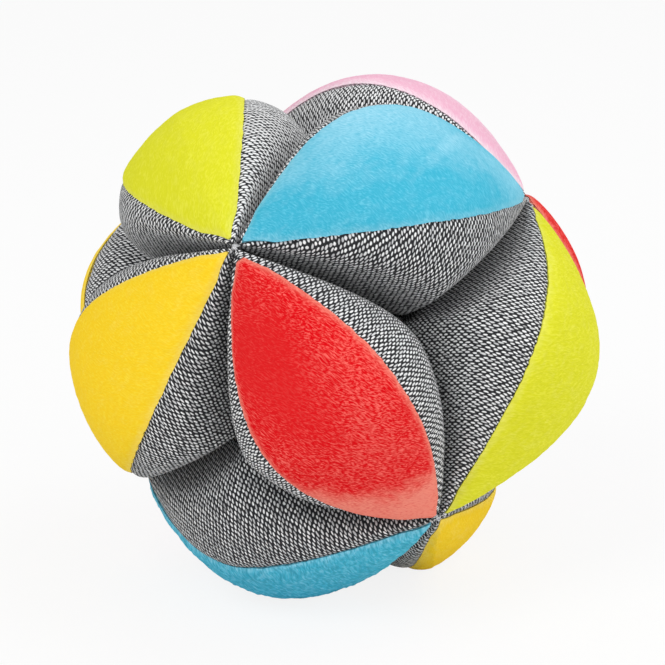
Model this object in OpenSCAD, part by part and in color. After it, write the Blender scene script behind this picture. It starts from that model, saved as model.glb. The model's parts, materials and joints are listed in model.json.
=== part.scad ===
// Sensory ball: a dozen stuffed cloth wedges held together only where their tips meet.
// Each wedge lies along one edge of an octahedron, with its two tips at two of the corners.
// A wedge has a leaf-shaped plush panel outside, a tweed cover round its sides and inner fold,
// and a fibre filling. A knotted thread at each corner runs a strand into each of four tips,
// so every wedge can rock about the line between its own two tips.

/* [Ball] */
// Distance from the ball's centre to each corner where four tips meet
corner_r = 63; // [56:0.5:72]
// Depth of the flat that each lower wedge rests on
flat_depth = 0.8; // [0.6:0.05:0.9]

/* [Wedge] */
// How far the plush crown stands out from the line between the tips
crown_rise = 27.3; // [24:0.1:29]
// How far the plush seams stand out from that line
seam_rise = 22.5; // [20:0.1:23.5]
// Half the width of the plush panel, seam to seam
seam_half = 20; // [16:0.1:22]
// Extra swell of the tweed sides
side_bulge = 2.5; // [0:0.1:4]
// How far the inner fold reaches towards the ball's centre from that line
fold_depth = 22; // [14:0.5:26]
// How fast the wedge fills out from its tips: under 1 is fuller
taper_power = 0.925; // [0.8:0.025:1.2]

/* [Cloth] */
// Thickness of the plush panel with its pile
plush_t = 2.2; // [1.2:0.1:3]
// Thickness of the tweed
tweed_t = 1.1; // [1:0.05:1.6]
// Play between the cloth and the filling
filling_gap = 0.15; // [0.05:0.05:0.4]

/* [Rocking] */
// How far a wedge rocks each way before it meets its neighbours
rock_angle = 8; // [2:0.5:10]
// Room between a wedge and the mirror plane that it shares with a neighbour
crease_gap = 0.3; // [0.1:0.05:0.6]

/* [Tips] */
// Distance from a corner at which a wedge's sewn tip ends
tip_cut = 4; // [3.5:0.1:5]
// Radius of the thread knot at each corner
knot_r = 2.2; // [1.2:0.1:2.6]
// Radius of the thread strand that runs into each tip
thread_r = 0.7; // [0.4:0.05:0.8]
// Room round the strand inside the tip
thread_gap = 0.3; // [0.2:0.05:0.4]
// How far a strand reaches from the corner along its wedge
thread_reach = 7.2; // [6:0.1:9]
// Room between the end of a strand and the filling
pocket_gap = 0.8; // [0.3:0.1:1.5]

/* [Hidden] */
// Corners of the octahedron: name, direction in plan, and above (1) or below (-1) the middle
CORNERS = [
    ["front_left_high", 240, 1],
    ["right_high", 0, 1],
    ["back_left_high", 120, 1],
    ["front_right_low", 300, -1],
    ["left_low", 180, -1],
    ["back_right_low", 60, -1]
];
// Wedges: name, plush colour, the corners at its two tips, how far it lies rolled about the edge
// between them, the share by which it sinks where its stuffing is loose, the turn at which it sinks
// most, and where its fullest section lies, as a share of the way from its middle to its second tip
WEDGES = [
    ["top_right", "blue", 0, 1, -1, 0, 0, 0],
    ["top_back", "pink", 1, 2, -8, 0, 0, -0.06],
    ["top_left", "lime", 2, 0, 1, 0.13, -95, 0.03],
    ["front", "red", 0, 3, 6, 0.2, -110, 0],
    ["right", "lime", 3, 1, 0, 0, 0, 0.08],
    ["back_right", "red", 1, 5, -6, 0, 0, -0.12],
    ["back", "blue", 5, 2, 0, 0, 0, 0],
    ["back_left", "yellow", 2, 4, -2, 0, 0, 0],
    ["left", "yellow", 4, 0, 1, 0, 0, -0.08],
    ["bottom_left", "blue", 3, 4, -6.5, 0, 0, 0],
    ["bottom_back", "pink", 4, 5, -5, 0, 0, 0],
    ["bottom_right", "yellow", 5, 3, -4, 0.36, 60, 0]
];
PLUSH_COLOURS = [
    ["red", "#ea3f3a"],
    ["blue", "#4dbfd9"],
    ["lime", "#bfd117"],
    ["yellow", "#ffd80d"],
    ["pink", "#f7bcd3"]
];

// The middle of each octahedron edge is as far from the centre as half the edge is long
chord_half = corner_r / sqrt(2);
// Turn about the edge from straight out to the face between two corners
face_lean = asin(1 / sqrt(3));
// Turn about the edge at which neighbours come closest, on the ridge that runs into each pit
ridge_angle = 90 + face_lean;
// Polar place of the seam about the edge
seam_angle = atan2(seam_half, seam_rise);
seam_reach = norm([seam_rise, seam_half]);
// The plush panel's cross-section is one arc over its two seams
crown_height = crown_rise - seam_rise;
crown_arc_r = (seam_half * seam_half + crown_height * crown_height) / (2 * crown_height);
crown_arc_centre = crown_rise - crown_arc_r;
// How sharply a wedge's free swell gives way where a neighbour takes the room
crease_sharpness = 10;
bore_r = thread_r + thread_gap;
// Sections across a wedge, from tip to tip: the sewn end, the end of the strand's pocket,
// and hand-chosen shares of the stuffed length between
station_shares = [0, 0.2, 0.62];
tip_v = chord_half - tip_cut;
pocket_v = chord_half - thread_reach - pocket_gap;
half_stations = [for (k = station_shares) k * pocket_v, pocket_v];
stations = both_ways(concat(half_stations, [tip_v]));
filling_stations = both_ways(half_stations);
// Turns halfway down the tweed side and halfway from the ridge to the fold
side_mid_angle = (seam_angle + ridge_angle) / 2;
fold_mid_angle = (ridge_angle + 180) / 2;
// Every outer point about the ball's centre, and from those the place of the centre:
// over the middle of the surface that the ball stands on, and at its height above that
outer_points = [for (w = WEDGES) for (v = stations)
    for (a = concat(panel_angles(w), cover_angles(w))) place(w, v, a, outer_r(w, v, a))];
standing_z = min([for (p = outer_points) p[2]]) + flat_depth;
centre = [
    -(min([for (p = outer_points) p[0]]) + max([for (p = outer_points) p[0]])) / 2,
    -(min([for (p = outer_points) p[1]]) + max([for (p = outer_points) p[1]])) / 2,
    -standing_z
];

function both_ways(half) = concat([for (i = [len(half) - 1:-1:1]) -half[i]], half);
// Turns about the edge at which a section of wedge w has a point
function panel_angles(w) = [for (k = [-2:2]) w[4] + k / 2 * seam_angle];
function side_angles(first, last) = [for (k = [0:3]) first + k / 3 * (last - first)];
function cover_angles(w) = concat(
    side_angles(w[4] + seam_angle, ridge_angle),
    [fold_mid_angle, 180, 360 - fold_mid_angle],
    side_angles(360 - ridge_angle, 360 + w[4] - seam_angle));
function filling_angles(w) = concat(
    [w[4]],
    side_angles(w[4] + seam_angle, ridge_angle),
    [180],
    side_angles(360 - ridge_angle, 360 + w[4] - seam_angle));
function colour_of(name) = [for (c = PLUSH_COLOURS) if (c[0] == name) c[1]][0];
function unit(p) = p / norm(p);

// Where the corners are, and the three directions of a wedge: along it, outwards and sideways
function corner_dir(c) = [
    sqrt(2 / 3) * cos(CORNERS[c][1]),
    sqrt(2 / 3) * sin(CORNERS[c][1]),
    CORNERS[c][2] / sqrt(3)
];
function along(w) = unit(corner_dir(w[3]) - corner_dir(w[2]));
function outwards(w) = unit(corner_dir(w[3]) + corner_dir(w[2]));
function sideways(w) = cross(along(w), outwards(w));
function stands(w) = CORNERS[w[2]][2] < 0 && CORNERS[w[3]][2] < 0;

// Cross-section of a wedge at its middle, as a distance from the edge at each turn
function turn(a) = a > 180 ? 360 - a : abs(a);
function panel_r(a) = crown_arc_centre * cos(a)
    + sqrt(crown_arc_r * crown_arc_r - pow(crown_arc_centre * sin(a), 2));
function side_r(t) = seam_reach + (fold_depth - seam_reach) * t * t * (3 - 2 * t)
    + side_bulge * sin(180 * t);
function free_r(a) = a <= seam_angle ? panel_r(a) : side_r((a - seam_angle) / (180 - seam_angle));
function taper(w, v) = pow(cos(90 * stretched(w[7], v / chord_half)), taper_power);
function stretched(fullest_share, share) = share - fullest_share * (1 - share * share);

// Nearest turn to a neighbour that the wedge reaches as it rocks, and how that limits it
function nearest_turn(a) = abs(a - ridge_angle) <= rock_angle ? ridge_angle
    : a + sign(ridge_angle - a) * rock_angle;
function squeeze(v, a) = sqrt(3) * sin(max(0, nearest_turn(a) - face_lean))
    / (chord_half - abs(v) - 2 * crease_gap);
function soft_least(r, k) = pow(pow(1 / r, crease_sharpness) + pow(k, crease_sharpness),
    -1 / crease_sharpness);
function stuffed_r(w, a) = free_r(turn(a)) * (1 - w[5] * max(0, cos(a - w[6])));
function outer_r(w, v, a) = soft_least(stuffed_r(w, a - w[4]) * taper(w, v), squeeze(v, turn(a)));
function inner_r(w, v, a, depth) = max(outer_r(w, v, a) - depth, bore_r);
function filling_r(w, v, a) = outer_r(w, v, a) - filling_gap
    - (turn(a - w[4]) < side_mid_angle ? plush_t : tweed_t);

// A point of a wedge, first about the ball's centre and then where the ball stands
function place(w, v, a, r) = (chord_half + r * cos(a)) * outwards(w)
    + v * along(w) + r * sin(a) * sideways(w);
function stood(p) = p + centre;

// Triangles over the square a, b, c, d
function two(a, b, c, d) = [[a, b, c], [a, c, d]];

// A layer of cloth over some turns of a wedge, as thick as depth
module cloth(w, angles, depth) {
    n = len(stations);
    m = len(angles);
    last = n - 1;
    edge = m - 1;
    skin = [for (v = stations) for (a = angles) stood(place(w, v, a, outer_r(w, v, a)))];
    lining = [for (v = stations) for (a = angles) stood(place(w, v, a, inner_r(w, v, a, depth)))];
    function o(i, j) = i * m + j;
    function q(i, j) = n * m + i * m + j;
    polyhedron(concat(skin, lining), [
        for (i = [0:last - 1]) for (j = [0:edge - 1]) each concat(
            two(o(i, j), o(i + 1, j), o(i + 1, j + 1), o(i, j + 1)),
            two(q(i, j), q(i, j + 1), q(i + 1, j + 1), q(i + 1, j))),
        for (i = [0:last - 1]) each concat(
            two(o(i + 1, 0), o(i, 0), q(i, 0), q(i + 1, 0)),
            two(o(i, edge), o(i + 1, edge), q(i + 1, edge), q(i, edge))),
        for (j = [0:edge - 1]) each concat(
            two(o(0, j), o(0, j + 1), q(0, j + 1), q(0, j)),
            two(o(last, j + 1), o(last, j), q(last, j), q(last, j + 1)))
    ]);
}

// Cuts the lower wedges flat where the ball stands
module stood_flat(w) {
    span = 4 * corner_r;
    if (stands(w)) {
        difference() {
            children();
            translate([-span / 2, -span / 2, -span]) cube(span);
        }
    } else {
        children();
    }
}

module plush_panel(w) {
    color(colour_of(w[1])) stood_flat(w) cloth(w, panel_angles(w), plush_t);
}

module tweed_cover(w) {
    color("#7d7d7d") stood_flat(w) cloth(w, cover_angles(w), tweed_t);
}

module filling(w) {
    angles = filling_angles(w);
    n = len(filling_stations);
    m = len(angles);
    function o(i, j) = i * m + j % m;
    skin = [for (v = filling_stations) for (a = angles) stood(place(w, v, a, filling_r(w, v, a)))];
    color("#f4f2ec") polyhedron(skin, [
        for (i = [0:n - 2]) for (j = [0:m - 1])
            each two(o(i, j), o(i + 1, j), o(i + 1, j + 1), o(i, j + 1)),
        for (j = [1:m - 2]) each [
            [o(0, 0), o(0, j), o(0, j + 1)],
            [o(n - 1, 0), o(n - 1, j + 1), o(n - 1, j)]
        ]
    ]);
}

// A knot at corner c, with a strand along each of the four octahedron edges that meet there
module tip_knot(c) {
    out = corner_dir(c);
    color("#d9dadc") translate(stood(corner_r * out)) rotate([0, acos(out[2]), CORNERS[c][1]]) {
        sphere(knot_r, $fn = 32);
        for (k = [0:3]) {
            rotate([0, 135, 45 + 90 * k]) cylinder(h = thread_reach, r = thread_r, $fn = 24);
        }
    }
}

for (w = WEDGES) {
    plush_panel(w);
    tweed_cover(w);
    filling(w);
}
for (c = [0:len(CORNERS) - 1]) {
    tip_knot(c);
}
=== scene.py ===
# %% [markdown]
# A soft ball for a baby's hands. Twelve stuffed wedges lie along the edges of an octahedron, and
# thread ties four of their tips at every corner. Each wedge is a plush leaf sewn into a tweed cover.
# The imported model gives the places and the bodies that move, and every piece here is built on it.

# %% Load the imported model
import json
import math

import bpy
import numpy as np
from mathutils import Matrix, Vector


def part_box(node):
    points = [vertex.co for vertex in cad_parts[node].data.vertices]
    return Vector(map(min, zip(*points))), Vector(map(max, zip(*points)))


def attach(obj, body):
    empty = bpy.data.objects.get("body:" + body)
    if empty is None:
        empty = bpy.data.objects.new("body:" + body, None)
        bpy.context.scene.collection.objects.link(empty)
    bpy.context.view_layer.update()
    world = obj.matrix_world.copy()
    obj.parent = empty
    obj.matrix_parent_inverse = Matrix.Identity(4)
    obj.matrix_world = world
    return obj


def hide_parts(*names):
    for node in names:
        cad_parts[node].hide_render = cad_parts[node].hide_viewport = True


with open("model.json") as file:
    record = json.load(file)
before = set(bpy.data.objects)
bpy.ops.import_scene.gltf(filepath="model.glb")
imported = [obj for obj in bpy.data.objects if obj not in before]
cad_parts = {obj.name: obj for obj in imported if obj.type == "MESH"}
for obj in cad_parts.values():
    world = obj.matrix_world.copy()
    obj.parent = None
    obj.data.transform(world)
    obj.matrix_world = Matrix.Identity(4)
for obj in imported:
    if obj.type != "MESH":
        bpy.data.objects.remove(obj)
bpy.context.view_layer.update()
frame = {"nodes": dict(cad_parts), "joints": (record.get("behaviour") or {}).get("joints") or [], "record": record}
MM = 0.001

# %% [markdown]
# Where the wedges are can be read off the hinges, because each wedge rocks about the line between
# its own two tips. The middle of that line and its direction fix the whole wedge, and the middle of
# all the hinges is the ball's centre. Reading them saves typing twelve places that could go wrong.
#
# A soft ball is never quite even. Some wedges lie rolled a few degrees about that line. Some sink on
# one side where they are loosely stuffed: how much of the swell is missing, and at which turn. Some
# are fullest nearer to one tip, by a share of the half length. Those few numbers are the part's own.

# %% Read the wedges and the corners from the hinges
centre = np.mean([j["pos_m"] for j in frame["joints"]], axis=0)
slot_of = {s["node"]: s["material_slot"] for s in frame["record"]["subparts"]}
rolls = {"top_right": -1, "top_back": -8, "top_left": 1, "front": 6, "back_right": -6, "left": 1}
rolls |= {"back_left": -2, "bottom_left": -6.5, "bottom_back": -5, "bottom_right": -4}
slacks = {"top_left": (0.13, -95), "front": (0.2, -110), "bottom_right": (0.36, 60)}
fullest = {"top_back": -0.06, "top_left": 0.03, "right": 0.08, "back_right": -0.12, "left": -0.08}
wedges = {}
for joint in frame["joints"]:
    name = joint["child"].removeprefix("wedge_")
    outwards = np.array(joint["pos_m"]) - centre
    chord_half = float(np.linalg.norm(outwards))
    outwards = outwards / chord_half
    along = np.array(joint["axis"]) / np.linalg.norm(joint["axis"])
    slack, slack_turn = slacks.get(name, (0, 0))
    wedges[name] = {
        "body": joint["child"],
        "middle": np.array(joint["pos_m"]),
        "axes": np.array([outwards, along, np.cross(along, outwards)]),
        "plush": slot_of["plush_panel_" + name],
        "roll": math.radians(rolls.get(name, 0)),
        "slack": slack,
        "slack_turn": math.radians(slack_turn),
        "fullest": fullest.get(name, 0),
    }
corner_r = chord_half * math.sqrt(2)
print("wedges:", len(wedges), "half length mm:", round(chord_half / MM, 2))

# %% [markdown]
# The camera stands where the photographer stood, a little above the ball. A wide lens close by would
# blow up the nearest wedges, so a long lens stands well back. Its place is written as two angles and
# a distance from the ball's centre, because that is how a photographer would move it.

# %% Camera
camera_azimuth = math.radians(-1.82)
camera_elevation = math.radians(17.3)
camera_distance = 0.7014
camera_lens_mm = 141.9
camera_sensor_mm = 36
camera_back = Vector((
    math.sin(camera_azimuth) * math.cos(camera_elevation),
    -math.cos(camera_azimuth) * math.cos(camera_elevation),
    math.sin(camera_elevation),
))
camera_data = bpy.data.cameras.new("camera")
camera_data.lens = camera_lens_mm
camera_data.sensor_width = camera_sensor_mm
camera = bpy.data.objects.new("camera", camera_data)
camera.location = Vector(centre) + camera_distance * camera_back
camera.rotation_mode = "QUATERNION"
camera.rotation_quaternion = (-camera_back).to_track_quat("-Z", "Y")
bpy.context.collection.objects.link(camera)
bpy.context.scene.camera = camera
bpy.context.scene.view_settings.view_transform = "Standard"
print("camera at", [round(v, 3) for v in camera.location])

# %% [markdown]
# A shader is a small sum over the surface. Wiring it node by node hides the sum, so this class wraps
# a socket and lets Python's own signs add the Math nodes. Every other node comes from its one method
# `node`, which takes the node's type, its settings and its sockets.

# %% A socket that can be added, multiplied and mixed
class Wire:
    def __init__(self, tree, socket=None):
        self.tree = tree
        self.socket = socket

    def node(self, kind, settings=None, sockets=None, out=0):
        made = self.tree.nodes.new(kind)
        for key, value in (settings or {}).items():
            setattr(made, key, value)
        for key, value in (sockets or {}).items():
            if isinstance(value, Wire):
                self.tree.links.new(value.socket, made.inputs[key])
            else:
                made.inputs[key].default_value = value
        return Wire(self.tree, made.outputs[out])

    def math(self, operation, *others):
        return self.node("ShaderNodeMath", {"operation": operation}, dict(enumerate((self, *others))))

    def math_after(self, operation, first):
        return self.node("ShaderNodeMath", {"operation": operation}, {0: first, 1: self})

    def __add__(self, other):
        return self.math("ADD", other)

    __radd__ = __add__

    def __mul__(self, other):
        return self.math("MULTIPLY", other)

    __rmul__ = __mul__

    def __sub__(self, other):
        return self.math("SUBTRACT", other)

    def __rsub__(self, other):
        return self.math_after("SUBTRACT", other)

    def __pow__(self, other):
        return self.math("POWER", other)

    def __rpow__(self, other):
        return self.math_after("POWER", other)

    def ramp(self, low, high):
        sockets = {"Value": self, "From Min": low, "From Max": high}
        return self.node("ShaderNodeMapRange", {"interpolation_type": "SMOOTHSTEP"}, sockets)

    def mix(self, first, second):
        sockets = {0: self, 6: first, 7: second}
        return self.node("ShaderNodeMix", {"data_type": "RGBA"}, sockets, out=2)


print("a wire can be added, subtracted, multiplied, raised, ramped and mixed")

# %% [markdown]
# Colours are written as a screen shows them, from 0 to 255. Light adds up on another scale, the linear
# one, so each colour is turned into that before a shader sees it. Every finish starts from Blender's
# Principled shader. What varies over the cloth is wired into it, and what is the same all over is set
# on its own socket, because that is quicker to render and easier to carry into other programs.

# %% Colours and plain materials
def srgb(red, green, blue):
    channels = np.array([red, green, blue]) / 255
    linear = np.where(channels <= 0.04045, channels / 12.92, ((channels + 0.055) / 1.055) ** 2.4)
    return (*linear, 1)


def new_material(name):
    material = bpy.data.materials.new(name)
    material.use_nodes = True
    shader = material.node_tree.nodes["Principled BSDF"]
    return material, shader, Wire(material.node_tree)


def feed(shader, wires):
    for socket, wire in wires.items():
        wire.tree.links.new(wire.socket, shader.inputs[socket])


def settle(shader, constants):
    for socket, value in constants.items():
        shader.inputs[socket].default_value = value


print("a middle grey is", round(float(srgb(128, 128, 128)[0]), 3), "in linear light")

# %% [markdown]
# Cloth is measured along its own threads. Each piece of cloth carries, at every point of its mesh, how
# far that point lies across and along the cut panel. The weave and the nap read that as an attribute,
# so they follow the cloth over every curve. A picture wrapped round a wedge would stretch at the tips,
# and would have to be unwrapped first.

# %% The cloth's own coordinates in a shader
def field(wire, name, out="Fac"):
    return wire.node("ShaderNodeAttribute", {"attribute_name": name}, out=out)


def cloth_places(wire):
    apart = {"Vector": field(wire, "cloth", "Vector")}
    return [wire.node("ShaderNodeSeparateXYZ", None, apart, out=k) for k in "XYZ"]


def join(wire, x, y, z):
    return wire.node("ShaderNodeCombineXYZ", None, {"X": x, "Y": y, "Z": z})


def noise(wire, place, scale, detail=2.0, roughness=0.5, distortion=0.0):
    sockets = {"Vector": place, "Scale": scale, "Detail": detail}
    sockets |= {"Roughness": roughness, "Distortion": distortion}
    return wire.node("ShaderNodeTexNoise", None, sockets)


def chance(wire, place):
    settings = {"noise_dimensions": "3D"}
    return wire.node("ShaderNodeTexWhiteNoise", settings, {"Vector": place}, out="Value")


def bump(wire, height, distance, strength):
    sockets = {"Height": height, "Distance": distance, "Strength": strength}
    return wire.node("ShaderNodeBump", None, sockets, out="Normal")


print("cloth places are in metres, so one thread is about", MM, "wide")

# %% [markdown]
# The tweed is a plain weave of black warp and white weft, coarse enough to see each crossing. Modelled
# threads would need millions of faces, so a shader draws them. Wherever a white thread lies on top it
# shows as a short slanting stroke. The strokes stand like the white squares of a chessboard and reach
# a little into the squares beside them. The sum below finds the nearest stroke, says how deep inside
# it a point lies, and lets every thread waver and every stroke differ a little.

# %% Tweed: where the white strokes lie
warp_pitch = 1.06 * MM
weft_pitch = 0.68 * MM
waver_scale = 420.0
warp_waver = 0.7
weft_waver = 0.84
stroke_slant = 0.05
stroke_shift = 0.3
stroke_drop = 0.4
stroke_shortness, shortness_spread = 1.25, 0.45
stroke_thinness, thinness_spread = 1.95, 1.1
stroke_taper = 2.2
warp_roundness = 2.3


def white_strokes(wire, across, along, panel):
    waver_x = noise(wire, join(wire, across, along, panel), waver_scale, detail=1.0) - 0.5
    waver_y = noise(wire, join(wire, along, across, panel + 3.0), waver_scale, detail=1.0) - 0.5
    column = across * (1 / warp_pitch) + waver_x * warp_waver
    row = along * (1 / weft_pitch) + waver_y * weft_waver
    column_number = column.math("FLOOR")
    row_number = row.math("FLOOR")
    x = column - column_number - 0.5
    y = row - row_number - 0.5
    warp_on_top = (column_number + row_number).math("FLOORED_MODULO", 2.0)
    step = warp_on_top * x.math("SIGN")
    crossing = chance(wire, join(wire, column_number + step, row_number, panel))
    tone = chance(wire, join(wire, row_number, column_number + step, panel + 5.0))
    yarn = chance(wire, join(wire, row_number, panel, 0.0))
    from_stroke = x - step + stroke_shift * (crossing - 0.5)
    slanted = y + stroke_slant * from_stroke + stroke_drop * (tone - 0.5)
    shortness = stroke_shortness + shortness_spread * tone
    thinness = stroke_thinness + thinness_spread * crossing
    past_end = (from_stroke.math("ABSOLUTE") * shortness) ** stroke_taper
    past_side = (slanted.math("ABSOLUTE") * thinness) ** 2.0
    warp_arch = 1 - (x.math("ABSOLUTE") * warp_roundness) ** 2.0
    return 1 - past_end - past_side, tone, yarn, warp_on_top * warp_arch


print("threads to the centimetre:", round(0.01 / warp_pitch, 1), "by", round(0.01 / weft_pitch, 1))

# %% [markdown]
# Neither yarn is one colour. Each white stroke has its own tone, fuzz breaks up both yarns, and here and there a
# slub of black covers the white. Some sides show more white and some less, which is painted light on some sides
# and painted shade on others, and the mesh says how much. The same strokes give the bump its height, which keeps
# the light on the threads in step with their colour.

# %% Tweed: the two yarns
fuzz_scale = 5200.0
white_tones = (srgb(150, 152, 156), srgb(252, 253, 254))
black_tones = (srgb(20, 21, 24), srgb(60, 61, 65))
tone_share, yarn_share, fuzz_share = 0.45, 0.15, 0.6
least_white = 0.35
stroke_edge = (-0.2, 0.55)
slub_across, slub_along = 0.35, 1.6
slub_edge = (0.68, 0.78)
slub_cover = 0.7
warp_height, fuzz_height = 0.4, 0.25
thread_height = 0.24 * MM


def tweed_material():
    material, shader, wire = new_material("tweed")
    across, along, panel = cloth_places(wire)
    stroke, tone, yarn, warp_arch = white_strokes(wire, across, along, panel)
    # painted light (above zero) and painted shade (below zero) on this side, added to the white
    painted_side_light = field(wire, "painted_side_light")
    fuzz = noise(wire, join(wire, across, along, panel), fuzz_scale)
    slub_place = join(wire, across * slub_across, along * slub_along, panel)
    slubs = noise(wire, slub_place, waver_scale, detail=1.0).ramp(*slub_edge)
    shown = (stroke + painted_side_light).ramp(*stroke_edge) * (1 - slub_cover * slubs)
    white = least_white + tone_share * tone + yarn_share * yarn + fuzz_share * (fuzz - 0.5) + painted_side_light
    white_yarn = white.ramp(0.0, 0.8).mix(*white_tones)
    black_yarn = fuzz.ramp(0.35, 0.8).mix(*black_tones)
    height = stroke.math("MAXIMUM", 0.0) + warp_height * warp_arch + fuzz_height * fuzz
    feed(shader, {
        "Base Color": shown.mix(black_yarn, white_yarn),
        "Roughness": 0.95 - 0.2 * shown,
        "Normal": bump(wire, height, thread_height, 0.6),
    })
    settle(shader, {"Specular IOR Level": 0.25, "Sheen Weight": 0.12})
    return material


tweed = tweed_material()
print("tweed:", len(tweed.node_tree.nodes), "nodes")

# %% [markdown]
# The plush is a short cut pile. Its fibres stand in fine wavy locks, and the crest of each lock is painted a
# little lighter than the furrow beside it: painted light on the crests and painted shade in the furrows, over
# locks that the bump also raises. Real hair would be far too many strands for a toy that has to move, so two
# stretched noises draw the locks, bent by a third. Where the pile was stroked with its lean a patch is smooth and
# even. Where it was brushed the other way a patch looks paler. The rim, where the pile turns over the seam, is
# paler with a painted sheen, and a few patches are painted sheen and a painted highlight. A ruffled leaf parts
# into strands with painted shade between them. The mesh says how the pile was laid, where sheen is painted and how
# ruffled it is.

# %% Plush
# for each plush: the furrow colour with painted shade, the crest colour with painted light, and the pale colour of
# brushed pile and of painted sheen
plush_colours = {
    "plush_red": (srgb(223, 2, 16), srgb(252, 104, 96), srgb(248, 144, 126)),
    "plush_blue": (srgb(66, 182, 212), srgb(98, 202, 228), srgb(160, 221, 242)),
    "plush_lime": (srgb(224, 224, 42), srgb(235, 234, 64), srgb(241, 239, 124)),
    "plush_yellow": (srgb(253, 211, 36), srgb(255, 222, 56), srgb(255, 234, 134)),
    "plush_pink": (srgb(241, 182, 206), srgb(246, 203, 220), srgb(251, 230, 239)),
}
lock_length = 1.2 * MM
lock_width = 0.33 * MM
lock_bend = 9.0
bend_scale = 150.0
fibres_across, fibres_along = 2.6, 1.8
drift_scale = 38.0
lock_share, fibre_share, drift_share = 0.66, 0.34, 0.16
crest_light_edge = (0.44, 0.67)
even_pile = 0.11
brushed_locks = 1.8
strand_scale = 0.7
strand_paleness, strand_edge = 0.5, (0.5, 0.7)
parting_shade, parting_edge = 0.68, (0.34, 0.54)
lock_height = 0.3 * MM


def plush_material(name):
    material, shader, wire = new_material(name)
    furrow_shade, crest_light, brushed_and_sheen = plush_colours[name]
    shade = (*(parting_shade * np.array(furrow_shade[:3])), 1)
    across, along, panel = cloth_places(wire)
    place = join(wire, across, along, panel)
    bend = noise(wire, place, bend_scale, detail=1.0) - 0.5
    x = across * (1 / lock_width) + bend * lock_bend
    y = along * (1 / lock_length) + bend * (lock_bend / 3)
    locks = noise(wire, join(wire, x, y, panel), 1.0, detail=1.0, distortion=0.4)
    fibres = noise(wire, join(wire, x * fibres_across, y * fibres_along, panel), 1.0)
    strand_place = join(wire, x * strand_scale, y * strand_scale, panel + 7.0)
    strands = noise(wire, strand_place, 1.0, detail=1.0)
    drift = noise(wire, place, drift_scale, distortion=0.4)
    laid_and_sheen, ruffled = field(wire, "laid_and_sheen"), field(wire, "ruffled")
    smooth = (laid_and_sheen * -1.0).math("MAXIMUM", 0.0)
    paler = laid_and_sheen.math("MAXIMUM", 0.0)
    # painted light on the lock crests and painted shade in the furrows
    light = lock_share * locks + fibre_share * fibres + drift_share * (drift - 0.5)
    light = light.ramp(*crest_light_edge)
    light = light + (even_pile - light) * smooth
    pale_strands = strand_paleness * ruffled * strands.ramp(*strand_edge)
    paler = paler + brushed_locks * (locks - 0.5) * paler + pale_strands
    # painted shade between the strands of a ruffled leaf
    parting_shade_mask = ruffled * (1 - strands.ramp(*parting_edge))
    pile = paler.math("MINIMUM", 1.0).mix(light.mix(furrow_shade, crest_light), brushed_and_sheen)
    height = (locks + 0.4 * fibres) * (1 - 0.7 * smooth)
    feed(shader, {
        "Base Color": parting_shade_mask.mix(pile, shade),
        "Roughness": 0.92 - 0.12 * light,
        "Normal": bump(wire, height, lock_height, 0.4),
    })
    settle(shader, {"Specular IOR Level": 0.1, "Sheen Weight": 0.15})
    settle(shader, {"Sheen Roughness": 0.45, "Sheen Tint": crest_light})
    return material


plush = {name: plush_material(name) for name in plush_colours}
print("plush colours:", ", ".join(plush))

# %% [markdown]
# Inside each cover is loose white fibre. It never shows while the ball is whole, but a wedge that is
# opened should hold up. Tufts and hairs are one noise at two sizes, and their sum pushes the light
# about as loose fibre does.

# %% Filling fibre
tuft_scale = 320.0
hair_scale = 2600.0
fibre_tones = (srgb(214, 212, 206), srgb(252, 251, 248))
fibre_height = 0.8 * MM


def fibre_material():
    material, shader, wire = new_material("fibre_filling")
    place = wire.node("ShaderNodeTexCoord", out="Object")
    tufts = noise(wire, place, tuft_scale, detail=4.0, roughness=0.6, distortion=1.2)
    hairs = noise(wire, place, hair_scale)
    feed(shader, {
        "Base Color": (0.7 * tufts + 0.3 * hairs).mix(*fibre_tones),
        "Roughness": 0.9 + 0.1 * hairs,
        "Normal": bump(wire, tufts + 0.4 * hairs, fibre_height, 0.7),
    })
    settle(shader, {"Sheen Weight": 0.3})
    return material


fibre = fibre_material()
print("filling fibre:", len(fibre.node_tree.nodes), "nodes")

# %% [markdown]
# The corners are tied with pale sewing thread. Two plies twist round each other, and on the outside that is a row
# of slanting ridges, with painted shade in the grooves between them. A sine of the place along the thread plus the
# place round it gives just that, without modelling the plies.

# %% Sewing thread
ply_lay = 5200.0
ply_round = 9000.0
ply_height = 0.06 * MM
thread_groove_shade_tones = (srgb(186, 188, 192), srgb(242, 243, 245))


def thread_material():
    material, shader, wire = new_material("thread")
    across, along, panel = cloth_places(wire)
    twist = (along * ply_lay + across * ply_round).math("SINE") * 0.5 + 0.5
    feed(shader, {
        # painted shade in the grooves between the ply ridges
        "Base Color": twist.mix(*thread_groove_shade_tones),
        "Roughness": 0.75 + 0.15 * twist,
        "Normal": bump(wire, twist, ply_height, 0.8),
    })
    return material


thread = thread_material()
print("the ridges of the thread lie", round(2 * math.pi / ply_lay / MM, 2), "mm apart")

# %% [markdown]
# A wedge is easiest to describe from the line between its tips: turn about that line, and say how far
# out the cloth is. Straight out is the plush crown, then come the seam, the swelling tweed side and
# the fold inside. The crown is an arc through both seams. The side eases from the seam to the fold and
# bulges on the way. This is the section that stuffing would like to have, with no neighbour near.

# %% The free section of a wedge
crown_rise = 27.3 * MM
seam_rise = 22.5 * MM
seam_half = 20 * MM
side_bulge = 2.5 * MM
fold_depth = 22 * MM
seam_turn = math.atan2(seam_half, seam_rise)
seam_reach = math.hypot(seam_rise, seam_half)


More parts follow.
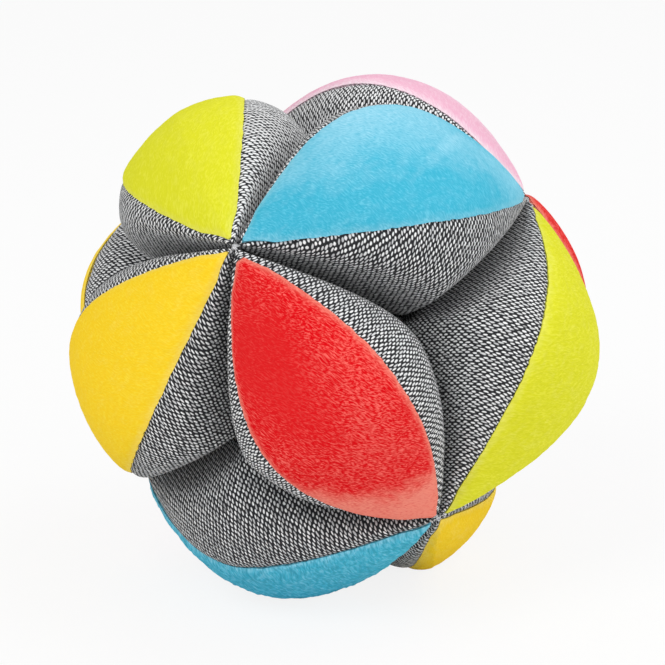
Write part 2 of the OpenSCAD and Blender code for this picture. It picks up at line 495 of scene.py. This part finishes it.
def free_reach(turn):
    height = crown_rise - seam_rise
    arc = (seam_half ** 2 + height ** 2) / (2 * height)
    arc_centre = crown_rise - arc
    inner = np.maximum(arc ** 2 - (arc_centre * np.sin(turn)) ** 2, 0)
    crown = arc_centre * np.cos(turn) + np.sqrt(inner)
    share = np.clip((turn - seam_turn) / (math.pi - seam_turn), 0, 1)
    ease = share * share * (3 - 2 * share)
    side = seam_reach + (fold_depth - seam_reach) * ease + side_bulge * np.sin(math.pi * share)
    return np.where(turn <= seam_turn, crown, side)


def folded(turn):
    return np.abs((turn + math.pi) % (2 * math.pi) - math.pi)


print("the seam lies", round(math.degrees(seam_turn), 1), "degrees from the crown")

# %% [markdown]
# Neighbours leave each wedge a room with flat walls. At one turn a wall comes nearest to the wedge's
# own line, and there the neighbours all but touch. A wedge also rocks, so every point of the cloth gets
# only the room it would have after rocking towards that turn as far as it may. The swell tapers to both
# tips, and the cloth takes a soft version of whichever is less, swell or room. Boolean cuts would leave
# hard edges there, which stuffed cloth doesn't have.

# %% The room that the neighbours leave
taper_power = 0.925
least_taper = 1e-4
rock_room = math.radians(8)
crease_gap = 0.35 * MM
least_room = 0.01 * MM
crease_sharpness = 10
face_lean = math.asin(1 / math.sqrt(3))
touch_turn = math.pi / 2 + face_lean


def reach(wedge, v, turn):
    rolled = turn - wedge["roll"]
    sunk = 1 - wedge["slack"] * np.maximum(np.cos(rolled - wedge["slack_turn"]), 0)
    turn = folded(turn)
    share = v / chord_half
    share = share - wedge["fullest"] * (1 - share ** 2)
    taper = np.maximum(np.cos(math.pi / 2 * share), least_taper) ** taper_power
    can_touch = np.abs(turn - touch_turn) <= rock_room
    rocked = np.where(can_touch, touch_turn, turn + np.sign(touch_turn - turn) * rock_room)
    lean = np.sin(np.maximum(rocked - face_lean, 0))
    room = np.maximum(chord_half - np.abs(v) - 2 * crease_gap, least_room)
    squeeze = math.sqrt(3) * lean / room
    free = 1 / (free_reach(folded(rolled)) * sunk * taper)
    return (free ** crease_sharpness + squeeze ** crease_sharpness) ** (-1 / crease_sharpness)


def stand(wedge, v, turn, r, lift=0.0):
    outwards, along, sideways = wedge["axes"]
    points = (
        wedge["middle"]
        + (r * np.cos(turn))[..., None] * outwards
        + v[..., None] * along
        + (r * np.sin(turn))[..., None] * sideways
    )
    points[..., 2] = np.maximum(points[..., 2], lift)
    return points


middle_width = 2 * float(reach(wedges["left"], np.array(0.0), np.array(math.pi / 2)))
print("a wedge is", round(middle_width / MM, 1), "mm thick at its middle")

# %% [markdown]
# Real stuffing is never even, so every wedge gets its own gentle lumps. A Displace modifier could add
# them, but the lining has to follow the cloth, and the lumps have to fade where a neighbour is near. So
# the noise is worked out here, from chances at the points of a lattice, and it gives the same lumps on
# every run.

# %% Seeded lumps
lattice_steps = np.array([127.1, 311.7, 74.7])
seed_step = 17.17
chance_stretch = 43758.5453


def lattice_chance(cells, seed):
    mixed = np.sin(cells @ lattice_steps + seed * seed_step) * chance_stretch
    return mixed - np.floor(mixed)


def lumps(points, size, seed):
    spot = points / size
    cell = np.floor(spot)
    part = spot - cell
    part = part * part * (3 - 2 * part)
    total = np.zeros(points.shape[:-1])
    for corner in np.ndindex(2, 2, 2):
        weight = np.prod(np.where(corner, part, 1 - part), axis=-1)
        total += weight * lattice_chance(cell + np.array(corner), seed)
    return 2 * total - 1


print("a lump at the centre:", round(float(lumps(centre[None], 20 * MM, 1)[0]), 3))

# %% [markdown]
# Every piece ends up as a mesh with one material and with fields, the numbers that its shader reads at
# each point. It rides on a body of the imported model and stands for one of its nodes. Those steps are
# the same for leaves, covers, fillings and stitches, so they are written once.

# %% A mesh piece and what it stands for
def mesh_piece(name, points, faces, fields, material):
    mesh = bpy.data.meshes.new(name)
    mesh.from_pydata(points.tolist(), [], faces)
    mesh.validate()
    mesh.shade_smooth()
    for key, values in fields.items():
        kind, slot = ("FLOAT_VECTOR", "vector") if values.ndim == 2 else ("FLOAT", "value")
        attribute = mesh.attributes.new(key, kind, "POINT")
        attribute.data.foreach_set(slot, np.ascontiguousarray(values, np.float32).ravel())
    mesh.materials.append(material)
    piece = bpy.data.objects.new(name, mesh)
    bpy.context.collection.objects.link(piece)
    return piece


def stand_for(piece, body, node):
    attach(piece, body)
    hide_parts(node)


print("nodes to stand for:", len(frame["nodes"]))

# %% [markdown]
# A panel of cloth is a grid of points with a coarser grid behind it for its lining, closed round the
# edge, so each panel is a real shell with a thickness. A Solidify modifier would double the fine grid,
# though nobody sees the lining. Here the edge joins the fine grid to the coarse one with a fan of
# triangles for each coarse step.

# %% A closed shell from a grid
LINING_STEP = 4


def edge_loop(grid):
    return np.concatenate([grid[0, :-1], grid[:-1, -1], grid[-1, :0:-1], grid[:0:-1, 0]])


def grid_faces(grid):
    return np.stack([grid[:-1, :-1], grid[1:, :-1], grid[1:, 1:], grid[:-1, 1:]], -1).reshape(-1, 4)


def edge_fans(rim_sheen, back):
    half = LINING_STEP // 2
    faces = []
    for k in range(len(back)):
        chain = [int(rim_sheen[(k * LINING_STEP + i) % len(rim_sheen)]) for i in range(LINING_STEP + 1)]
        a, b = int(back[k]), int(back[(k + 1) % len(back)])
        faces += [[chain[i], chain[i + 1], a] for i in range(half)]
        faces += [[chain[half], b, a]]
        faces += [[chain[i], chain[i + 1], b] for i in range(half, LINING_STEP)]
    return faces


def shell(name, outside, inside, fields, material):
    rows, columns = outside.shape[:2]
    fine = np.arange(rows * columns).reshape(rows, columns)
    lining = inside[::LINING_STEP, ::LINING_STEP]
    coarse = fine.size + np.arange(lining.shape[0] * lining.shape[1]).reshape(lining.shape[:2])
    faces = grid_faces(fine)[:, ::-1].tolist() + grid_faces(coarse).tolist()
    faces += edge_fans(edge_loop(fine), edge_loop(coarse))
    points = np.concatenate([outside.reshape(-1, 3), lining.reshape(-1, 3)])
    both = {}
    for key, values in fields.items():
        size = (-1,) + values.shape[2:]
        behind = values[::LINING_STEP, ::LINING_STEP]
        both[key] = np.concatenate([values.reshape(size), behind.reshape(size)])
    return mesh_piece(name, points, faces, both, material)


print("a lining point for every", LINING_STEP, "steps of a panel")

# %% [markdown]
# The seam is sewn inside out and turned, so both cloths roll over into a narrow valley. The leaf of
# plush ends in a blunt point just before the corner, and the tweed closes round it and goes on to the
# tie. Hand sewing isn't even: one leaf lies twisted, and a few seams wander. A wander says on which
# side, where along the wedge, over what length and how far the seam strays, in millimetres.

# %% The seam line
plain_leaf_end = (1.9 * MM, 1.9 * MM)
leaf_ends = {"front": (3.0 * MM, 1.9 * MM)}
plain_blunt_shares = (0.2, 0.2)
blunt_shares = {"front": (0.45, 0.4)}
leaf_twists = {"top_back": math.radians(-13)}
seam_wanders = {"front": (1, 34, 8, 2), "top_right": (-1, -20, 14, 1.7)}
seam_wanders |= {"bottom_left": (1, 6, 21, -3.4), "top_back": (-1, -16, 24, 2.5)}
straight_seam = (1, 0, 1, 0)
leaf_spread = 5 * MM
for name, wedge in wedges.items():
    wedge["leaf_end"] = leaf_ends.get(name, plain_leaf_end)
    wedge["blunt"] = blunt_shares.get(name, plain_blunt_shares)
    wedge["twist"] = leaf_twists.get(name, 0)
    wedge["wander"] = seam_wanders.get(name, straight_seam)


def to_leaf_tip(wedge, v):
    return chord_half - np.abs(v) - np.where(v < 0, *wedge["leaf_end"])


def leaf_roll(wedge, v):
    return wedge["roll"] + wedge["twist"] * v / chord_half


def seam_at(wedge, v, side):
    past = np.clip(to_leaf_tip(wedge, v) / leaf_spread, 0, 1)
    blunt = np.where(v < 0, *wedge["blunt"])
    seam = seam_turn * (blunt + (1 - blunt) * np.sqrt(past))
    where, at, spread, shift = wedge["wander"]
    near = np.exp(-(((v / MM - at) / spread) ** 2)) * (side == where)
    return seam + shift * MM * near * past / reach(wedge, v, wedge["roll"] + side * seam)


middle_seam = float(seam_at(wedges["left"], np.array(0.0), 1))
print("seam turn at the middle:", round(math.degrees(middle_seam), 1))

# %% [markdown]
# Grid points are set closer together near the seams and tips, where the shape changes fastest. Each
# point also gets its place on the flat cloth, measured round the section from the middle of the panel
# and along the middle line. The panel's grain turns those two, because no two panels are cut from the
# roll at quite the same angle. A third number tells panels apart, so that no two share a pattern.

# %% Grid spacing and places on the flat cloth
panel_step = 0.37


def eased(count, ease):
    share = np.linspace(-1, 1, count)
    return (1 - ease) * share + ease * np.sin(math.pi / 2 * share)


def lengths(points):
    steps = np.linalg.norm(np.diff(points, axis=0), axis=-1)
    return np.insert(np.cumsum(steps, axis=0), 0, 0, axis=0)


def cloth_of(wedge, v, turn, middle_turn, points, grain, number):
    line = stand(wedge, v[:, 0], np.full(len(v), middle_turn), reach(wedge, v[:, 0], middle_turn))
    along = lengths(line) - lengths(line)[len(v) // 2]
    round_it = lengths(np.swapaxes(points, 0, 1)).T
    start = np.array([np.interp(middle_turn, turn[k], round_it[k]) for k in range(len(v))])
    across = round_it - start[:, None]
    along = np.broadcast_to(along[:, None], across.shape)
    turned = across * math.cos(grain) - along * math.sin(grain)
    lengthways = across * math.sin(grain) + along * math.cos(grain)
    return np.stack([turned, lengthways, np.full_like(across, panel_step * number)], -1)


print("first steps of an eased row:", np.round(np.diff(eased(9, 0.8))[:3], 3))

# %% [markdown]
# Handling lays the pile this way and that. The field `laid_and_sheen` is above zero where the pile was brushed
# paler and where a sheen and a highlight are painted, and below zero where it was stroked smooth. Every rim is
# paler with a painted sheen, every leaf is a little clumped, and some leaves have patches. On the top right leaf
# the patches are painted sheen over its upper part and its right tip, and a painted highlight along a crease. A
# patch is an ellipse with a ragged, cloudy edge: its place along and beside the wedge's line, its half length and
# half width in millimetres, its slope in degrees, how soft its edge is, and how pale it is, or how smooth if that
# is below zero.

# %% How the pile was laid
# the pale rim is a painted sheen where the pile turns over the seam
rim_sheen_width = 1.3 * MM
plain_rim_sheen = 0.35
rim_sheen_paleness = {"plush_red": 0.8, "plush_pink": 0.8}
plain_clumping = 0.08
clumpings = {"bottom_left": 0.12, "bottom_right": 0.16, "right": 0.16, "top_right": 0.12}
clump_shape = np.array([0.7, 1, 1])
clump_size, clump_seed = 1.3 * MM, 11
ragged_layers = [(0.05, 5 * MM, 7), (0.08, 1.3 * MM, 9)]
cloud_layers = [(0.25, 11 * MM, 5)]
laid_and_sheen_patches = {
    "front": [
        (44, -4, 19.2, 30, 0, 0.28, 1), (23.7, 20.6, 25, 13, -37, 0.55, 0.9),
        (29, 7, 10, 8, 0, 0.7, 0.8), (-20, 6, 26, 15, 0, 0.6, -0.8),
    ],
    # painted sheen over the upper part and the right tip, and a painted highlight along a crease
    "top_right": [
        (0, -20, 50, 30, 0, 1, 0.95), (34, 2, 22, 18, 0, 1, 0.8),
        (12, -2, 21, 2.2, -31, 0.9, 0.45),
    ],
    "bottom_right": [(0, 8, 12, 5, 0, 0.5, 0.5)],
    "top_back": [(0, 0, 34, 14, 0, 0.8, 0.9)],
}


def layered(spot, layers, number):
    return sum(amount * lumps(spot, size, number + seed) for amount, size, seed in layers)


def laid_and_sheen_at(name, v, beside, edge, number):
    spot = np.stack([v, beside, 0 * v], -1)
    clumping = clumpings.get(name, plain_clumping)
    clumps = clumping * lumps(spot * clump_shape, clump_size, number + clump_seed)
    ragged = layered(spot, ragged_layers, number)
    clouds = layered(spot, cloud_layers, number)
    # painted sheen along the rim
    rim_sheen = rim_sheen_paleness.get(wedges[name]["plush"], plain_rim_sheen)
    paler = rim_sheen * np.exp(-((edge / rim_sheen_width) ** 2))
    paler = paler + np.maximum(clumps, 0) * (1 - paler)
    smooth = np.minimum(clumps, 0)
    for at, side, half_length, half_width, slope, softness, amount in laid_and_sheen_patches.get(name, []):
        east, north = v / MM - at, beside / MM - side
        lean = math.radians(slope)
        long_way = (east * math.cos(lean) + north * math.sin(lean)) / half_length
        short_way = (north * math.cos(lean) - east * math.sin(lean)) / half_width
        inside = 1 - np.hypot(long_way, short_way) + ragged + softness * clouds
        here = amount * np.clip(inside / softness, 0, 1)
        paler = paler + np.maximum(here, 0) * (1 - paler)
        smooth = np.minimum(smooth, here)
    return paler + smooth * (1 - paler)


print("brushed or stroked patches:", sum(len(rows) for rows in laid_and_sheen_patches.values()))

# %% [markdown]
# The plush leaf lies between its two seams. Its grid runs from tip to tip and from seam to seam, and
# little tufts of pile reach a hair's breadth over the tweed. The distance to the nearest edge comes
# with the grid, because the rim, the puckers and the pile all depend on it.

# %% The grid of a leaf
leaf_rows, leaf_columns = 161, 97
leaf_row_ease, leaf_column_ease = 0.8, 0.75
tuft_reach = 0.25 * MM
tuft_size, tuft_seed = 0.9 * MM, 30
tuft_edge_power = 9
tip_sharpness = 2


def on_seam(v, side):
    return np.stack([v, side + 0 * v, 0 * v], -1)


def leaf_grid(wedge, number):
    along = eased(leaf_rows, leaf_row_ease)[:, None]
    v = along * (chord_half - np.where(along < 0, *wedge["leaf_end"]))
    across = eased(leaf_columns, leaf_column_ease)[None, :]
    seam = seam_at(wedge, v, np.where(across < 0, -1, 1))
    beside = across * seam
    v = np.broadcast_to(v, beside.shape)
    tufts = lumps(on_seam(v, np.sign(across)), tuft_size, number + tuft_seed)
    overlap = tuft_reach * (1 + tufts) * across ** tuft_edge_power
    turn = beside + overlap / seam_reach + leaf_roll(wedge, v)
    base = reach(wedge, v, turn)
    to_seam = np.maximum(seam - np.abs(beside), 0) * base
    to_tip = np.maximum(to_leaf_tip(wedge, v), 0)
    return v, turn, beside, base, np.minimum(to_seam, tip_sharpness * to_tip)


print("points on a leaf:", leaf_rows * leaf_columns)

# %% [markdown]
# On that grid the leaf gets a rounded, raised edge of pile along both seams, small puckers where the
# seam pulls, soft lumps of stuffing, and locks of pile pressed into the mesh itself. Cloth simulation
# could swell it too, but it would blur the narrow seams, and the wedge has to stay in its room. The
# least shares keep the thin tips from turning inside out.

# %% Plush panels
plush_depth = 2.0 * MM
pile_height = 0.8 * MM
leaf_valley, valley_depth = 0.3 * MM, 0.55 * MM
rim_round, rim_power = 1.5 * MM, 1.3
leaf_pucker, leaf_pucker_size, leaf_pucker_fade = 0.25 * MM, 4.5 * MM, 4 * MM
pucker_start = 1.5 * MM
leaf_lump, leaf_lump_size = 0.35 * MM, 17 * MM
lock_shape, lock_size, lock_seed = np.array([0.9, 3.4, 1]), 1 * MM, 40
plain_relief, relief_start = 0.1 * MM, 1.2 * MM
lock_relief = {"bottom_left": 0.34 * MM}
seam_allowance = 0.6 * MM
least_leaf, least_backing = 0.4, 0.25
# how ruffled each leaf is; its strands get painted shade between them
ruffled_leaves = {"bottom_left": 0.6, "bottom_right": 0.12, "right": 0.12}
grain_middle, grain_spread = 45, 20
plush_grains = {name: grain_middle + grain_spread * math.sin(5 * k) for k, name in enumerate(wedges)}
plush_grains |= {"front": -35, "top_right": 53, "bottom_left": 76}


def plush_panel(name, wedge, number):
    v, turn, beside, base, edge = leaf_grid(wedge, number)
    flat = stand(wedge, v, turn, base)
    cloth = cloth_of(wedge, v, turn, wedge["roll"], flat, math.radians(plush_grains[name]), number)
    raised = 1 - np.exp(-((edge / rim_round) ** rim_power))
    rise = (pile_height + leaf_valley) * raised - leaf_valley
    near_seam = np.exp(-edge / leaf_pucker_fade) * np.clip(edge / pucker_start, 0, 1)
    pucker = leaf_pucker * lumps(on_seam(v, np.sign(beside)), leaf_pucker_size, number) * near_seam
    locks = lumps(cloth / lock_shape, lock_size, number + lock_seed) * np.clip(edge / relief_start, 0, 1)
    r = base + rise + pucker + leaf_lump * lumps(flat, leaf_lump_size, number)
    r = np.maximum(r + lock_relief.get(name, plain_relief) * locks, least_leaf * base)
    inner = np.minimum(r - plush_depth, base - valley_depth - seam_allowance)
    inner = np.maximum(inner, least_backing * base)
    fields = {"cloth": cloth, "laid_and_sheen": laid_and_sheen_at(name, v, beside * base, edge, number)}
    fields["ruffled"] = np.full(v.shape, ruffled_leaves.get(name, 0.0))
    outside, inside = stand(wedge, v, turn, r), stand(wedge, v, turn, inner, plush_depth)
    piece = shell("plush_leaf_" + name, outside, inside, fields, plush[wedge["plush"]])
    stand_for(piece, wedge["body"], "plush_panel_" + name)
    return piece


for number, (name, wedge) in enumerate(wedges.items()):
    leaf = plush_panel(name, wedge, number)
print("plush leaves:", len(wedges), "faces each:", len(leaf.data.polygons))

# %% [markdown]
# The tweed cover goes from one seam round the inner fold to the other, so its grid starts at the fold
# and spreads both ways. Past the end of the leaf the two edges meet and close the cover up to the tie.
# How much air is left before the neighbour's plane says where the cloth is free to be uneven.

# %% The grid of a cover
cover_rows, cover_columns = 129, 113
cover_row_ease, cover_column_ease = 0.85, 0.6
tip_end = 1.0 * MM
least_lean = 1e-3


def cover_grid(wedge):
    v = eased(cover_rows, cover_row_ease)[:, None] * (chord_half - tip_end)
    across = eased(cover_columns, cover_column_ease)[None, :]
    seam = seam_at(wedge, v, np.where(across < 0, 1, -1))
    seam = np.where(to_leaf_tip(wedge, v) < 0, 0, seam)
    from_fold = across * (math.pi - seam)
    v = np.broadcast_to(v, from_fold.shape)
    turn = math.pi + from_fold + leaf_roll(wedge, v)
    base = reach(wedge, v, turn)
    to_seam = np.maximum(math.pi - seam - np.abs(from_fold), 0) * base
    return v, turn, from_fold, base, to_seam


def base_room(v, turn):
    lean = np.sin(np.maximum(folded(turn) - face_lean, least_lean))
    return (chord_half - np.abs(v)) / (math.sqrt(3) * lean)


print("points on a cover:", cover_rows * cover_columns)

# %% [markdown]
# The cover has the other half of the seam valley, a few soft puckers and gentle lumps. Each side has its own grain
# in degrees, and some sides have painted light and some painted shade, which the weave shows as more or less
# white. The weaves of the two sides meet along the fold, deep inside where nobody sees it.

# %% Tweed covers
side_turn = math.radians(85)
tweed_depth = 0.9 * MM
dip_width, dip_power = 1.1 * MM, 1.5
cover_pucker, cover_pucker_size, cover_pucker_fade = 0.3 * MM, 5 * MM, 5 * MM
cover_pucker_seed = 80
cover_lump, cover_lump_size, cover_lump_seed = 0.3 * MM, 15 * MM, 20
free_air = 1 * MM
least_cover, least_inside = 0.35, 0.3
first_grain_spread, second_grain_spread = 16, 11
tweed_grains = {"top_right": (16, -9), "top_back": (12, -16.5), "right": (9, -2), "left": (29, -8)}
tweed_grains |= {"bottom_left": (-34.5, 6), "front": (-12, 5)}
# painted light and painted shade on the first and the second side of a cover
painted_side_lights = {"top_left": (0, 0.3), "top_back": (0, 0.1), "top_right": (-0.07, 0)}
painted_side_lights |= {"bottom_left": (-0.13, 0), "left": (-0.08, 0)}


def tweed_cover(name, wedge, number, grains):
    v, turn, from_fold, base, to_seam = cover_grid(wedge)
    flat = stand(wedge, v, turn, base)
    dip = valley_depth * np.exp(-((to_seam / dip_width) ** dip_power))
    near_seam = np.exp(-to_seam / cover_pucker_fade) * np.clip(to_seam / pucker_start, 0, 1)
    pucker = lumps(on_seam(v, np.sign(from_fold)), cover_pucker_size, number + cover_pucker_seed)
    soft = cover_lump * lumps(flat, cover_lump_size, number + cover_lump_seed) - cover_lump
    clear = np.clip((base_room(v, turn) - base) / free_air, 0, 1)
    r = base - dip + clear * (cover_pucker * pucker * near_seam + soft)
    r = np.maximum(r, least_cover * base)
    inner = np.maximum(r - tweed_depth, least_inside * base)
    sides = [side_turn, 2 * math.pi - side_turn]
    numbers = [number, number + 0.5]
    cut = [cloth_of(wedge, v, turn, sides[k], flat, grains[k], numbers[k]) for k in (0, 1)]
    first_side = turn < math.pi
    fields = {"cloth": np.where(first_side[..., None], *cut)}
    fields["painted_side_light"] = np.where(first_side, *painted_side_lights.get(name, (0.0, 0.0)))
    outside, inside = stand(wedge, v, turn, r), stand(wedge, v, turn, inner, tweed_depth)
    piece = shell("tweed_side_" + name, outside, inside, fields, tweed)
    stand_for(piece, wedge["body"], "tweed_cover_" + name)
    return piece


for number, (name, wedge) in enumerate(wedges.items()):
    spread = (first_grain_spread * math.cos(3 * number), second_grain_spread * math.sin(5 * number))
    cover = tweed_cover(name, wedge, number, np.radians(tweed_grains.get(name, spread)))
print("tweed covers:", len(wedges), "faces each:", len(cover.data.polygons))

# %% [markdown]
# The filling is a lumpy cushion of fibre that just misses the cloth all round. It is a closed tube of
# rings with a cap at each end, from the same section as the cloth, so that it fits by itself.

# %% Fillings
filling_rows, filling_columns = 49, 48
filling_gap = 0.5 * MM
filling_end = 8 * MM
filling_tuft, filling_tuft_size, filling_seed = 0.7 * MM, 6 * MM, 60


def tube_faces(index):
    return grid_faces(np.concatenate([index, index[:, :1]], 1))


def filling_body(name, wedge, number):
    v = np.linspace(-1, 1, filling_rows)[:, None] * (chord_half - filling_end)
    turn = np.linspace(0, 2 * math.pi, filling_columns, endpoint=False)[None, :]
    v, turn = np.broadcast_arrays(v, turn)
    base = reach(wedge, v, turn) - plush_depth - filling_gap
    tufts = lumps(stand(wedge, v, turn, base), filling_tuft_size, number + filling_seed)
    points = stand(wedge, v, turn, base - filling_tuft * (1 + tufts), plush_depth + filling_gap)
    index = np.arange(v.size).reshape(v.shape)
    faces = tube_faces(index)[:, ::-1].tolist() + [index[0].tolist(), index[-1, ::-1].tolist()]
    piece = mesh_piece("filling_fibre_" + name, points.reshape(-1, 3), faces, {}, fibre)
    stand_for(piece, wedge["body"], "filling_" + name)
    return piece


for number, (name, wedge) in enumerate(wedges.items()):
    filling = filling_body(name, wedge, number)
print("fillings:", len(wedges), "faces each:", len(filling.data.polygons))

# %% [markdown]
# A thread is a thin tube swept along a path. A curve with a bevel would do that in one step, but the
# twist of the plies has to know how far along and round the thread a point lies. So the rings are set
# here: at each step of the path two directions across it carry a circle.

# %% A thread along a path
stitch_r = 0.18 * MM
stitch_sides = 8
off_path = np.array([0.31, 0.52, 0.79])


def thread_along(path, radius):
    forward = np.gradient(path, axis=0)
    forward /= np.linalg.norm(forward, axis=1, keepdims=True)
    side = np.cross(forward, off_path)
    side /= np.linalg.norm(side, axis=1, keepdims=True)
    up = np.cross(forward, side)
    turn = np.linspace(0, 2 * math.pi, stitch_sides, endpoint=False)
    ring = np.cos(turn)[None, :, None] * side[:, None] + np.sin(turn)[None, :, None] * up[:, None]
    points = path[:, None] + radius * ring
    index = np.arange(len(path) * stitch_sides).reshape(-1, stitch_sides)
    faces = tube_faces(index).tolist() + [index[0].tolist()[::-1], index[-1].tolist()]
    length = np.linspace(0, lengths(path)[-1], len(path))
    round_it = np.broadcast_to(turn * radius, index.shape)
    places = np.stack([round_it, np.broadcast_to(length[:, None], index.shape), 0 * round_it], -1)
    return points.reshape(-1, 3), faces, places.reshape(-1, 3)


print("thread", round(2 * stitch_r / MM, 2), "mm thick, with", stitch_sides, "sides")

# %% [markdown]
# At each corner a few stitches cross from tip to tip and are pulled tight. Every stitch is an arc: out
# of one tip, over the corner, and into the tip opposite. Later stitches lie over earlier ones, so each
# arc stands a little higher than the last. The tips that meet at a corner are found by their places,
# and the tip opposite is the one that points the other way.

# %% Stitches at the corners
stitch_reach = 4.2 * MM
stitch_steps = 24
stitches_each_way = 2
stitch_spacing = 2.1 * stitch_r
first_crown, crown_step = 0.8 * stitch_r, 0.5 * stitch_r
tips = []
for wedge in wedges.values():
    for sign in (-1, 1):
        inwards = -sign * wedge["axes"][1]
        tips.append((wedge["middle"] - chord_half * inwards, inwards))


def stitch_path(corner, out, first, second, offset, crown):
    share = np.linspace(-1, 1, stitch_steps)[:, None]
    ends = np.where(share < 0, first, second) * np.abs(share) * stitch_reach
    return corner + ends + (out * crown + offset) * (1 - share ** 2)


def corner_stitches(node, corner):
    out = (corner - centre) / corner_r
    strands = np.array([inwards for tip, inwards in tips if np.linalg.norm(tip - corner) < MM])
    level = strands - np.outer(strands @ out, out)
    points, faces, places = [], [], []
    for i, first in enumerate(strands):
        opposite = int(np.argmin(level @ level[i]))
        if opposite < i:
            continue
        second = strands[opposite]
        sideways = np.cross(out, first - second)
        sideways /= np.linalg.norm(sideways)
        for k in range(stitches_each_way):
            offset = sideways * (k - (stitches_each_way - 1) / 2) * stitch_spacing
            crown = first_crown + crown_step * len(points)
            made = thread_along(stitch_path(corner, out, first, second, offset, crown), stitch_r)
            start = sum(len(p) for p in points)
            points.append(made[0])
            faces += [[start + p for p in face] for face in made[1]]
            places.append(made[2])
    name = "corner_stitches_" + node.removeprefix("tip_knot_")
    piece = mesh_piece(name, np.concatenate(points), faces, {"cloth": np.concatenate(places)}, thread)
    stand_for(piece, "core", node)
    return piece


knots = [n for n in frame["nodes"] if n.startswith("tip_knot_")]
for node in knots:
    rough = np.mean([list(end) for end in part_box(node)], axis=0)
    corner = min((tip for tip, inwards in tips), key=lambda tip: float(np.linalg.norm(tip - rough)))
    stitches = corner_stitches(node, corner)
print("stitches at", len(knots), "corners, faces each:", len(stitches.data.polygons))

# %% [markdown]
# The floor is one wide pale sheet of paper. Lit paper alone comes out grey at the back of a studio, and more light
# would bleach the ball. So most of what the camera sees of the paper is a white glow, which only rays that look
# straight at it meet. The rest is lit as usual, which keeps the ball's soft shadow.

# %% Floor
floor_half = 4.0
paper_scale = 90.0
paper_tones = (srgb(244, 244, 244), srgb(248, 248, 248))
white_share = 0.86


def seen_directly(wire):
    rays = ["Is Camera Ray", "Is Glossy Ray", "Is Transmission Ray"]
    camera_ray, glossy, through = [wire.node("ShaderNodeLightPath", out=ray) for ray in rays]
    return (camera_ray + glossy + through).math("MINIMUM", 1.0)


floor_material, floor_shader, wire = new_material("floor")
paper_grain = noise(wire, wire.node("ShaderNodeTexCoord", out="Object"), paper_scale)
feed(floor_shader, {"Base Color": paper_grain.mix(*paper_tones)})
settle(floor_shader, {"Roughness": 0.9})
glow = wire.node("ShaderNodeEmission")
lit = Wire(wire.tree, floor_shader.outputs[0])
paper = wire.node("ShaderNodeMixShader", None, {0: seen_directly(wire) * white_share, 1: lit, 2: glow})
feed(wire.tree.nodes["Material Output"], {"Surface": paper})
floor_corners = [(x * floor_half, y * floor_half, 0) for x, y in ((-1, -1), (1, -1), (1, 1), (-1, 1))]
floor_mesh = bpy.data.meshes.new("floor")
floor_mesh.from_pydata(floor_corners, [], [(0, 1, 2, 3)])
floor_mesh.materials.append(floor_material)
floor = bpy.data.objects.new("floor", floor_mesh)
bpy.context.collection.objects.link(floor)
print("floor:", 2 * floor_half, "m across")

# %% [markdown]
# An even white world stands for the white walls of the studio and fills the shadows between wedges. It
# gives the ball about half its light and still looks white itself. Soft lamps add the rest.

# %% World
world_light = 0.54
world = bpy.data.worlds.new("studio")
bpy.context.scene.world = world
world.use_nodes = True
backdrop = world.node_tree.nodes["Background"]
settle(backdrop, {"Color": (1, 1, 1, 1)})
seen = seen_directly(Wire(world.node_tree))
feed(backdrop, {"Strength": world_light + seen * (1 - world_light)})
print("world light:", world_light)

# %% [markdown]
# Three wide lamps stand round the ball like soft boxes: a key at the upper left, a fill at the right
# and a third above. Their size keeps every shadow edge soft. They are just strong enough for a colour
# to come out about as it is written. Each row gives a lamp's place, its width and its power.

# %% Lamps
lamps = {
    "key": ((-0.6, -0.7, 1.0), 0.7, 5.6),
    "fill": ((0.95, -0.7, 0.6), 0.9, 3),
    "top": ((0.6, 0.1, 1.1), 0.9, 3.6),
}
for name, (place, size, power) in lamps.items():
    lamp_data = bpy.data.lights.new(name, "AREA")
    lamp_data.shape = "DISK"
    lamp_data.size = size
    lamp_data.energy = power
    lamp = bpy.data.objects.new(name, lamp_data)
    lamp.location = place
    lamp.rotation_mode = "QUATERNION"
    lamp.rotation_quaternion = (Vector(centre) - Vector(place)).to_track_quat("-Z", "Y")
    bpy.context.collection.objects.link(lamp)
print("lamps:", ", ".join(lamps))
